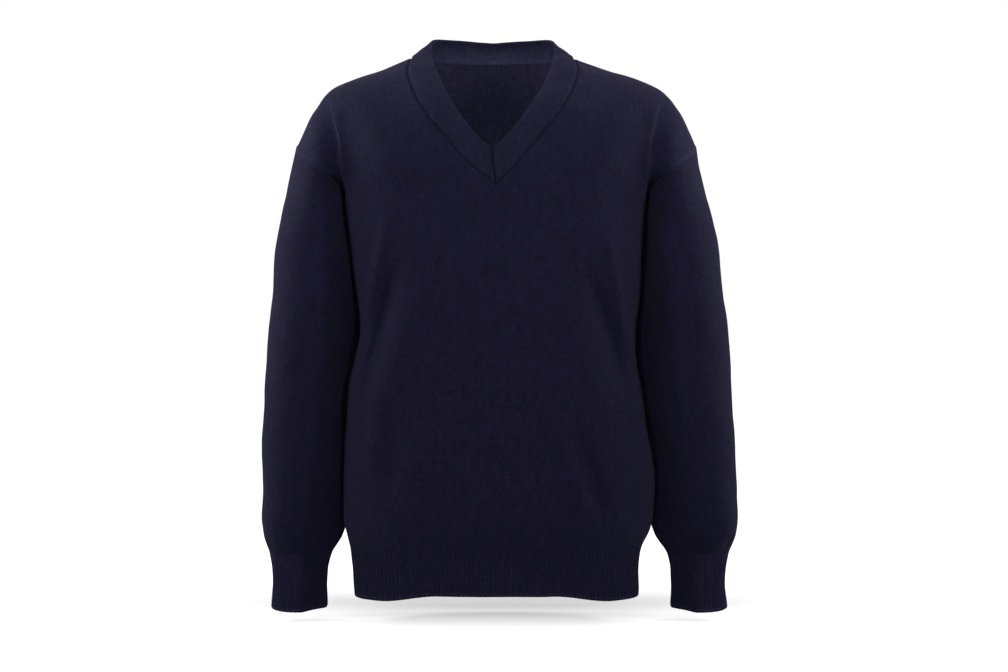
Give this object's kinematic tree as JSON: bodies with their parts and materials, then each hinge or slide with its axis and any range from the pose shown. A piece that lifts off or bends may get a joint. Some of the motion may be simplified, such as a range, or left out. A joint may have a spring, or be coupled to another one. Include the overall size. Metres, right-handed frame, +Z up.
{
  "type": "v-neck sweater",
  "caption": "Long-sleeved V-neck sweater in fine navy jersey with ribbed neckband, hem and cuffs, hollow and filled out as worn.",
  "frame": {"origin": "middle of the neck, level with the points where the shoulder seams meet the neckband, where the wearer's shoulders carry the sweater", "axes": "+Z up, -Y towards the sweater's front, +X towards the wearer's left"},
  "size_m": [0.5974, 0.2317, 0.7203],
  "materials": {
    "jersey": "fine plain jersey knit, matt with a soft sheen at grazing light",
    "rib": "rib knit, matt",
    "neck_rib": "fine folded rib knit, matt, a little lighter"
  },
  "bodies": {
    "root": {"front_panel": "jersey", "back_panel": "jersey", "sleeve_left": "jersey", "sleeve_right": "jersey", "neckband": "neck_rib", "front_hem_rib": "rib", "back_hem_rib": "rib", "cuff_left": "rib", "cuff_right": "rib"}
  },
  "joints": []
}
